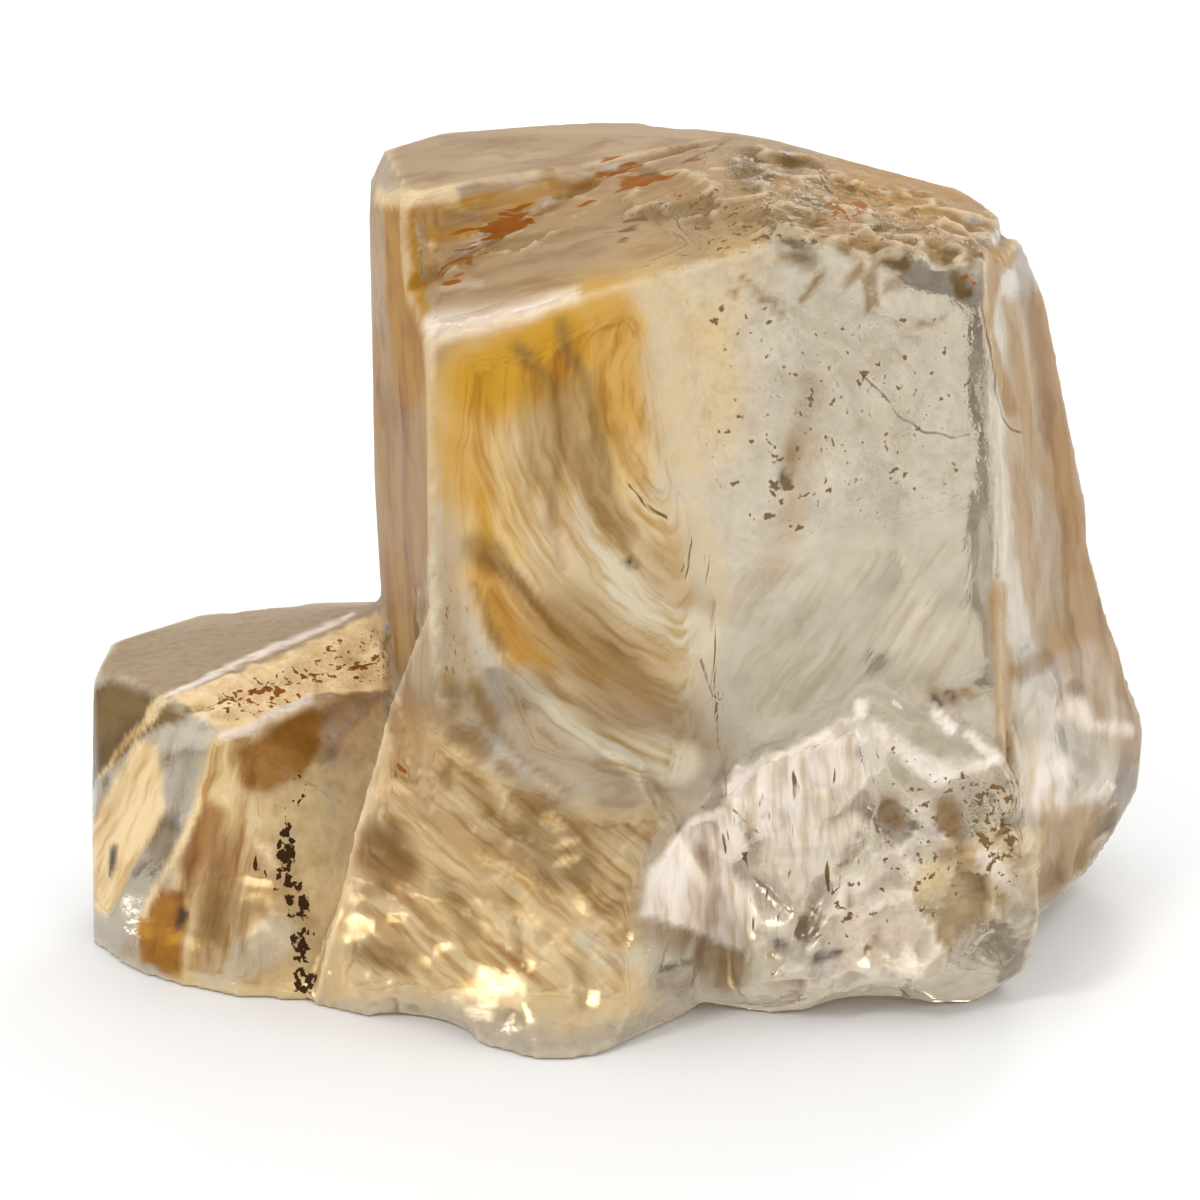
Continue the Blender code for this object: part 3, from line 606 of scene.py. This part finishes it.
class Net:
    """The finely netted stone: its points in millimetres, its normals, and where photo spots fall on it."""

    def __init__(self, solid, name):
        self.piece = bpy.data.objects.new(name, solid.data.copy())
        bpy.context.scene.collection.objects.link(self.piece)
        self.tree = BVHTree.FromPolygons(
            [v.co.copy() for v in solid.data.vertices], [tuple(p.vertices) for p in solid.data.polygons]
        )
        self.divide()
        self.read()

    def divide(self):
        """Gives the piece an even net, slightly smoothed, and closed as the solid is."""
        remesh = self.piece.modifiers.new("net", "REMESH")
        remesh.mode = "VOXEL"
        remesh.voxel_size = NET
        soften = self.piece.modifiers.new("soften", "SMOOTH")
        soften.factor = SMOOTHING
        soften.iterations = SMOOTHING_PASSES
        shaped = self.piece.evaluated_get(bpy.context.evaluated_depsgraph_get())
        mesh = bpy.data.meshes.new_from_object(shaped)
        self.piece.modifiers.clear()
        self.piece.data = mesh

    def read(self):
        """Takes the points and normals of the piece as it is now."""
        mesh = self.piece.data
        count = len(mesh.vertices)
        flat = np.empty(count * 3)
        mesh.vertices.foreach_get("co", flat)
        self.points = flat.reshape(-1, 3) / MM
        mesh.vertices.foreach_get("normal", flat)
        self.normals = flat.reshape(-1, 3).copy()

    def move(self, height):
        """Raises each point by height (mm) along its normal, but for the flat base."""
        above = ease((self.points[:, 2] - BASE_STILL) / BASE_KEPT)
        moved = self.points + self.normals * (height * above)[:, None]
        self.piece.data.vertices.foreach_set("co", (moved * MM).ravel())
        self.piece.data.update()
        self.read()

    def spot(self, across, down):
        """The point of the stone, in mm, that the photo shows at a pixel, or None."""
        span = FRAME_WIDTH / FRAME_PIXELS
        middle = FRAME_PIXELS / 2
        aim = LOOKED_AT + Vector(((across - middle) * span, 0, 0)) + FRAME_UP * ((middle - down) * span)
        found = self.tree.ray_cast(EYE, (aim - EYE).normalized())[0]
        return None if found is None else np.array(found) / MM

    def in_picture(self):
        """Where each point falls in the photo's frame, and how deep it lies, both in mm."""
        from_eye = self.points - np.array(EYE) / MM
        depth = -from_eye @ np.array(TOWARDS_EYE)
        scale = CAMERA_DISTANCE / MM / depth
        half = FRAME_WIDTH / MM / 2
        across = half + from_eye[:, 0] * scale
        down = half - from_eye @ np.array(FRAME_UP) * scale
        return np.stack([across, down], axis=1), depth

    def trace(self, spots):
        """Places of the photo's frame, in mm, with their depth, along a line of its pixels."""
        found = []
        for start, end in zip(spots, spots[1:]):
            steps = max(1, math.ceil(math.dist(start, end) / TRACE_STEP))
            for k in range(steps + 1):
                across = start[0] + (end[0] - start[0]) * k / steps
                down = start[1] + (end[1] - start[1]) * k / steps
                point = self.spot(across, down)
                if point is not None:
                    depth = -(point - np.array(EYE) / MM) @ np.array(TOWARDS_EYE)
                    found.append((across * PIXEL, down * PIXEL, depth))
        return np.array(found)

    def gaps(self, line, reach):
        """The points within reach (mm) of a traced line, and their gap to it, side and share along it."""
        low = line.min(axis=0) - (reach, reach, DEPTH_REACH)
        high = line.max(axis=0) + (reach, reach, DEPTH_REACH)
        place = np.column_stack([self.flat, self.depth])
        near = np.flatnonzero(np.all((place > low) & (place < high), axis=1))
        place = place[near]
        gap = np.full(len(near), np.inf)
        side = np.ones(len(near))
        share = np.zeros(len(near))
        for k, (start, end) in enumerate(zip(line, line[1:])):
            along = end[:2] - start[:2]
            size = along @ along
            if size < TINY:
                continue
            offset = place[:, :2] - start[:2]
            run = np.clip((offset @ along) / size, 0.0, 1.0)
            away = offset - run[:, None] * along
            length = np.sqrt((away * away).sum(axis=1))
            length[np.abs(place[:, 2] - start[2]) > DEPTH_REACH] = np.inf
            closer = length < gap
            gap[closer] = length[closer]
            side[closer] = np.sign(along[0] * away[:, 1] - along[1] * away[:, 0])[closer]
            share[closer] = (k + run[closer]) / (len(line) - 1)
        return near, gap, side, share

    def cover(self, strokes):
        """How strongly the strokes of a stain cover each point, from 0 to 1."""
        total = np.zeros(len(self.points))
        for mark in strokes:
            if "corners" in mark:
                total = np.maximum(total, self.inside(mark))
                continue
            half = mark["half"]
            first, last = half if isinstance(half, tuple) else (half, half)
            near, gap, _, share = self.gaps(self.trace(mark["spots"]), max(first, last) + mark["fade"])
            past = gap - (first + (last - first) * share)
            total[near] = np.maximum(total[near], mark["strength"] * ease(1.0 - past / mark["fade"]))
        return total * self.seen

    def inside(self, mark):
        """How strongly a patch covers each point, from 0 to 1."""
        corners = mark["corners"]
        rim = self.trace(corners + corners[:1])
        low = rim.min(axis=0) - (mark["fade"], mark["fade"], PATCH_DEPTH)
        high = rim.max(axis=0) + (mark["fade"], mark["fade"], PATCH_DEPTH)
        place = np.column_stack([self.flat, self.depth])
        near = np.flatnonzero(np.all((place > low) & (place < high), axis=1))
        place = place[near, :2]
        gap = np.full(len(near), np.inf)
        within = np.zeros(len(near), dtype=bool)
        turns = np.array(corners + corners[:1]) * PIXEL
        for start, end in zip(turns, turns[1:]):
            along = end - start
            offset = place - start
            run = np.clip((offset @ along) / (along @ along), 0.0, 1.0)
            away = offset - run[:, None] * along
            gap = np.minimum(gap, np.sqrt((away * away).sum(axis=1)))
            if along[1]:
                level = (place[:, 1] >= start[1]) != (place[:, 1] >= end[1])
                within ^= level & (place[:, 0] < start[0] + offset[:, 1] * along[0] / along[1])
        covered = np.zeros(len(self.points))
        covered[near] = mark["strength"] * ease(0.5 + np.where(within, gap, -gap) / mark["fade"])
        return covered

    def look(self, drift):
        """Sets where each point is in the picture, moved by drift (mm), and whether it faces that way."""
        self.flat, self.depth = self.in_picture()
        self.flat = self.flat + drift
        self.seen = ease((self.normals @ np.array(TOWARDS_EYE) + SEEN_EDGE) / SEEN_FADE)

    def bends(self):
        """How far each point stands out from its neighbours, in mm: above 0 on ridges, below in hollows."""
        mesh = self.piece.data
        pairs = np.empty(len(mesh.edges) * 2, dtype=np.int32)
        mesh.edges.foreach_get("vertices", pairs)
        near, far = pairs.reshape(-1, 2).T
        total = len(self.points)
        count = np.bincount(pairs, minlength=total)
        middle = self.points
        for _ in range(BEND_PASSES):
            sums = [np.bincount(near, m[far], total) + np.bincount(far, m[near], total) for m in middle.T]
            middle = np.stack(sums, axis=1) / count[:, None]
        return ((self.points - middle) * self.normals).sum(axis=1)

    def write(self, name, values):
        """Keeps a value for each point under a name that the material reads."""
        layer = self.piece.data.attributes.new(name, "FLOAT", "POINT")
        layer.data.foreach_set("value", values.astype(np.float32))

    def place(self, name, places):
        """Keeps a place in mm for each point under a name that the material reads."""
        layer = self.piece.data.attributes.new(name, "FLOAT_VECTOR", "POINT")
        layer.data.foreach_set("vector", places.astype(np.float32).ravel())

    def paint(self, name, colours):
        """Keeps a linear colour for each point under a name that the material reads."""
        layer = self.piece.data.attributes.new(name, "FLOAT_COLOR", "POINT")
        solid = np.column_stack([colours, np.ones(len(colours))])
        layer.data.foreach_set("color", solid.astype(np.float32).ravel())


def seed_shift(seed):
    """How far a seed moves the noise, so that no two draws are alike."""
    return Vector((seed * 7.3, seed * 3.1, seed * 5.7))


def wave(points, size, seed):
    """Perlin noise at each point, of one size (mm) or of one for each of X, Y and Z."""
    shift = seed_shift(seed)
    return np.array([noise.noise(Vector(p) + shift) for p in points / np.array(size)])


def rugged(points, size, seed):
    """Rough fractal noise at each point."""
    shift = seed_shift(seed)
    return np.array([noise.fractal(Vector(p) / size + shift, 0.9, 2.1, 4) for p in points])


def flakes(points, sizes, seed):
    """Chipped cells: each is scooped, slopes its own way, and has a lot of its own from 0 to 1."""
    shift = seed_shift(seed)
    heights = np.empty(len(points))
    lots = np.empty(len(points))
    for k, p in enumerate(points / np.array(sizes)):
        place = Vector(p) + shift
        gaps, middles = noise.voronoi(place)
        own = noise.cell_vector(middles[0] * 3.7)
        slope = (place - middles[0]).dot(own * 2.0 - Vector((1, 1, 1)))
        heights[k] = CELL_TILT * slope + gaps[0] ** 2 - CELL_LEVEL
        lots[k] = own[0]
    return heights, lots


def shape_relief(net):
    """Waves, ripples and chips of the broken surfaces. Returns where they are and what lots they drew."""
    points, normals = net.points, net.normals
    gritty = net.cover(GRITTY)
    hackle = net.cover(HACKLES)
    clouds = net.cover(CLOUDY)
    back = ease(normals[:, 1] * BACK_LEAN)
    flake, lots = flakes(points, FLAKE_SIZES, 3)
    chip, pits = flakes(points, CHIP_SIZES, 6)
    height = SWELL * wave(points, SWELL_SIZE, 1)
    height += (CHIP * gritty + CLOUDY_CHIP * clouds) * chip
    height += FLAKE * hackle * flake
    height += BACK_SWELL * back * wave(points, BACK_SIZES, 5)
    height += HEEL_SWELL * net.cover(WAVY) * wave(points, HEEL_SIZES, 9)
    net.move(height)
    return {"gritty": gritty, "hackle": hackle, "clouds": clouds, "lots": lots, "pits": pits}


def seam_gap(net):
    """The signed distance in mm of each point to the nearest seam."""
    nearest = np.full(len(net.points), SEAM_REACH)
    for spots in SEAMS:
        near, gap, side, _ = net.gaps(net.trace(spots), SEAM_REACH)
        closer = gap < np.abs(nearest[near])
        nearest[near[closer]] = (side * gap)[closer]
    return nearest


def streaked_grain(net):
    """Where each point's grain is looked up (mm, stretched along the streaks), its low tint and its calm."""
    place = net.points.copy()
    low = np.tile(linear(MOTTLE_TINT)[:3], (len(place), 1))
    calm = np.ones(len(place))
    for lean, tint, area in STREAKED:
        cover = net.cover([area])
        if lean is None:
            offset = net.flat - np.array(ARC_HUB) * PIXEL
            across = np.hypot(offset[:, 0], offset[:, 1])
            along = np.arctan2(offset[:, 0], offset[:, 1]) * ARC_RADIUS
        else:
            turn = math.radians(lean)
            across = net.flat @ np.array((math.cos(turn), -math.sin(turn)))
            along = net.flat @ np.array((math.sin(turn), math.cos(turn)))
        lined = np.column_stack([across, along / STREAK_STRETCH, net.depth / STREAK_STRETCH])
        covered = cover > 0.5
        lined += (place[covered] - lined[covered]).mean(axis=0)
        place = place * (1.0 - cover)[:, None] + lined * cover[:, None]
        low = towards(low, tint, cover)
        calm *= 1.0 - 4.0 * cover * (1.0 - cover)
    return place, low * calm[:, None] + 1.0 - calm[:, None], calm


def towards(first, second, share):
    """Colours that go from first to second by each point's share."""
    return first * (1.0 - share)[:, None] + np.array(linear(second)[:3]) * share[:, None]


def stain_and_glint_rules(net, broken, grain_at):
    """Stains and painted glints that follow a face's lean, a chip's lot or a cloud instead of a stroke, from
    0 to 1.
    """
    points, normals = net.points, net.normals
    gritty, hackle, clouds = broken["gritty"], broken["hackle"], broken["clouds"]
    swirl = rugged(grain_at, SWIRL_SIZE, 23)
    top = set_in(normals[:, 2], *TOP_LEAN) * set_in(points[:, 2], *TOP_HEIGHT)
    step_top = set_in(normals[:, 2], *STEP_LEAN) * set_in(points[:, 0], *STEP_SIDE)
    left = set_in(normals[:, 0], *LEFT_LEAN) * set_in(points[:, 2], *LEFT_HEIGHT)
    return {
        "frost": np.maximum.reduce([top, step_top * STEP_FROST, left * LEFT_FROST]),
        "tan": gritty * top * TOP_TAN,
        "olive": gritty * top * set_in(broken["pits"], *OLIVE_LOTS) * TOP_OLIVE,
        "amber": clouds * set_in(swirl, *AMBER_SWIRL) * CLOUD_AMBER,
        "brown": hackle * set_in(broken["lots"], *BROWN_LOTS) * HACKLE_BROWN,
        "cream_and_glints": clouds * set_in(swirl, *CREAM_SWIRL) * CLOUD_CREAM,
        # Hackle cells that turn white: partly whitish fractures, partly painted glints.
        "highlights_and_white": hackle * set_in(broken["lots"], *WHITE_AND_GLINT_LOTS) * HACKLE_WHITE_AND_GLINT,
    }


def lay_stains_and_painted_light(net, rules, blots):
    """The colour and the haze of each point once every stain and painted highlight is laid over the clear
    stone.
    """
    haze = CLEAR_HAZE * (1.0 + BLOTTED_HAZE * blots) * (1.0 - GLASSY_LOSS * net.cover(GLASSY))
    skin = np.tile(linear(CLEAR_TINT)[:3], (len(net.points), 1))
    for name, (strokes, tint, dust, breaking) in STAINS_AND_PAINTED_LIGHT.items():
        cover = net.cover(strokes)
        cover = np.clip(cover + blots * breaking * cover * (1.0 - cover) * 2.0, 0.0, 1.0)
        cover = np.maximum(cover, rules.get(name, 0.0))
        skin = towards(skin, tint, cover)
        haze = haze * (1.0 - cover) + dust * cover
    return skin, haze


def mark_grains(net):
    """Writes how thick the rust, vein and speck grains lie, and in which colour."""
    density = np.zeros(len(net.points))
    grain_tint = np.zeros((len(net.points), 3))
    for strokes, tint in GRAINS.values():
        share = net.cover(strokes)
        grain_tint[share > density] = linear(tint)[:3]
        density = np.maximum(density, share)
    net.write("grains", density)
    net.paint("grain_tint", grain_tint)


def mark_zones(net, broken):
    """Writes the colour and finish of every point on the net."""
    grain_at, low, calm = streaked_grain(net)
    blots = sum(share * wave(grain_at, size, seed) for share, size, seed in BLOTS)
    skin, haze = lay_stains_and_painted_light(net, stain_and_glint_rules(net, broken, grain_at), blots)
    lines = set_in(wave(grain_at, LINE_SIZE, 24), *LINE_LEVEL)
    skin *= 1.0 - (1.0 - low) * lines[:, None] * LINE_DEPTH
    bend = net.bends()
    ridge = ease((bend - BEND_START) / BEND_FULL)
    hollow = ease((-BEND_START - bend) / BEND_FULL)
    # Ridges turn pale, partly frosted chipped edges and partly a painted highlight; hollows turn a darker
    # brown.
    skin = towards(towards(skin, RIDGE_WEAR_AND_HIGHLIGHT_TINT, ridge * BEND_TINTING), HOLLOW_TINT, hollow * BEND_TINTING)
    net.paint("skin", skin)
    net.write("haze", np.clip(haze + ridge * RIDGE_DUST + hollow * HOLLOW_DUST, 0.0, 1.0))
    mark_grains(net)
    net.place("grain_at", grain_at)
    net.paint("low_tint", low)
    grit = np.maximum(broken["gritty"], broken["hackle"] * HACKLE_GRIT)
    net.write("coarse", (PLAIN_BUMP + GRIT_BUMP * grit) * calm)
    gap = seam_gap(net)
    net.write("seam", gap)
    net.write("seam_near", ease(1.0 - np.abs(gap) / SEAM_FADE))


def citrine():
    """The stone: clear quartz with honey stains, frosted breaks, rust grains and dark specks, with painted
    highlights and glints in its colour.
    """
    material = bpy.data.materials.new("citrine")
    board = Board(material)
    mottle = board.grain(board.zone("grain_at", "Vector"), GRAIN_SIZE, GRAIN_DETAIL, GRAIN_ROUGHNESS)
    grains = board.rise(mottle + board.zone("grains") * GRAIN_LIFT, *GRAIN_LEVEL)
    skin = board.blend(grains, board.zone("skin", "Color"), board.zone("grain_tint", "Color"))
    core = 1.0 - board.rise(board.zone("seam").size(), SEAM_CORE, SEAM_RIM)
    thread = core * board.rise(board.zone("seam_near"), *SEAM_ENDS)
    thread = thread * board.rise(mottle, *SEAM_BREAKS) * SEAM_STRENGTH
    skin = board.blend(thread, skin, linear(SEAM_TINT))
    shade = board.blend(board.rise(mottle, *SHADE_LEVEL), board.zone("low_tint", "Color"), linear(WHITE))
    multiply = {"data_type": "RGBA", "blend_type": "MULTIPLY"}
    skin = board.add("ShaderNodeMix", multiply, {0: 1.0, 6: skin, 7: shade}, out=2)
    relief = mottle * board.zone("coarse")
    bump = board.add("ShaderNodeBump", {}, {"Distance": BUMP_HEIGHT * MM, "Strength": 1.0, "Height": relief})
    haze = board.zone("haze")
    roughness = (POLISH + haze * HAZE_ROUGHNESS).held()
    glass = {"IOR": QUARTZ_IOR, "Transmission Weight": 1.0}
    matt = {"Specular IOR Level": DUST_SHINE}
    shared = {"Base Color": skin, "Normal": bump}
    clear = board.add("ShaderNodeBsdfPrincipled", {}, {"Roughness": roughness, **shared, **glass})
    dusty = board.add("ShaderNodeBsdfPrincipled", {}, {"Roughness": DUST_ROUGHNESS, **shared, **matt})
    dust = (haze + thread * SEAM_DUST + grains).held()
    surface = board.add("ShaderNodeMixShader", {}, {0: dust, 1: clear, 2: dusty})
    depth_tint = {"Color": linear(BODY_TINT), "Density": BODY_DENSITY}
    body = board.add("ShaderNodeVolumeAbsorption", {}, depth_tint)
    board.add("ShaderNodeOutputMaterial", {}, {"Surface": surface, "Volume": body})
    return material


def floor():
    """A wide pale floor just under the stone."""
    bpy.ops.mesh.primitive_plane_add(size=FLOOR_SIZE, location=(0, 0, -FLOOR_DROP * MM))
    ground = bpy.context.object
    ground.name = "studio_floor"
    material = bpy.data.materials.new("studio_floor")
    board = Board(material)
    paint = board.add("ShaderNodeBsdfPrincipled", {}, {"Base Color": linear(FLOOR_TINT), "Roughness": 0.8})
    board.add("ShaderNodeOutputMaterial", {}, {"Surface": paint})
    ground.data.materials.append(material)


def studio_sky():
    """A soft, well-lit room, lighter above than around."""
    world = bpy.data.worlds.new("studio")
    bpy.context.scene.world = world
    board = Board(world)
    way = board.add("ShaderNodeTexCoord", out="Generated")
    dot = {"operation": "DOT_PRODUCT"}
    lean = board.add("ShaderNodeVectorMath", dot, {0: way, 1: SKY_LEAN}, out="Value")
    glow = board.blend(board.rise(lean, *SKY_LEVEL), linear(SKY_DIM), linear(SKY_LIT))
    light = board.add("ShaderNodeBackground", {}, {"Color": glow, "Strength": 1.0})
    board.add("ShaderNodeOutputWorld", {}, {"Surface": light})


def soft_light(name, place, power, size):
    """A square lamp at a place, turned to the stone."""
    lamp = bpy.data.lights.new(name, "AREA")
    lamp.energy = power
    lamp.size = size
    light = bpy.data.objects.new(name, lamp)
    light.location = Vector(place)
    light.rotation_euler = (LOOKED_AT - light.location).to_track_quat("-Z", "Y").to_euler()
    bpy.context.scene.collection.objects.link(light)


def photo_camera():
    """The camera of the photograph."""
    lens = bpy.data.cameras.new("photo_camera")
    lens.sensor_width = SENSOR
    lens.lens = SENSOR * CAMERA_DISTANCE / FRAME_WIDTH
    lens.clip_start = 0.01
    camera = bpy.data.objects.new("photo_camera", lens)
    camera.location = EYE
    camera.rotation_euler = (math.pi / 2 - CAMERA_RISE, 0, 0)
    bpy.context.scene.collection.objects.link(camera)
    bpy.context.scene.camera = camera


def citrine_stone():
    """The one piece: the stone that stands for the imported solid."""
    net = Net(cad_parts["citrine_point"], "citrine_stone")
    drift = [sum(far * wave(net.points, size, seed) for far, size in DRIFTS) for seed in (11, 12)]
    net.look(np.stack(drift, axis=1))
    broken = shape_relief(net)
    mark_zones(net, broken)
    stone = net.piece
    stone.data.materials.clear()
    stone.data.materials.append(citrine())
    stone.data.shade_smooth()
    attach(stone, "root")
    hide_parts("citrine_point")


photo_camera()
citrine_stone()
floor()
studio_sky()
for lamp_name, (lamp_place, watts, lamp_size) in LAMPS.items():
    soft_light(lamp_name, lamp_place, watts, lamp_size)
bpy.context.scene.view_settings.view_transform = "Standard"
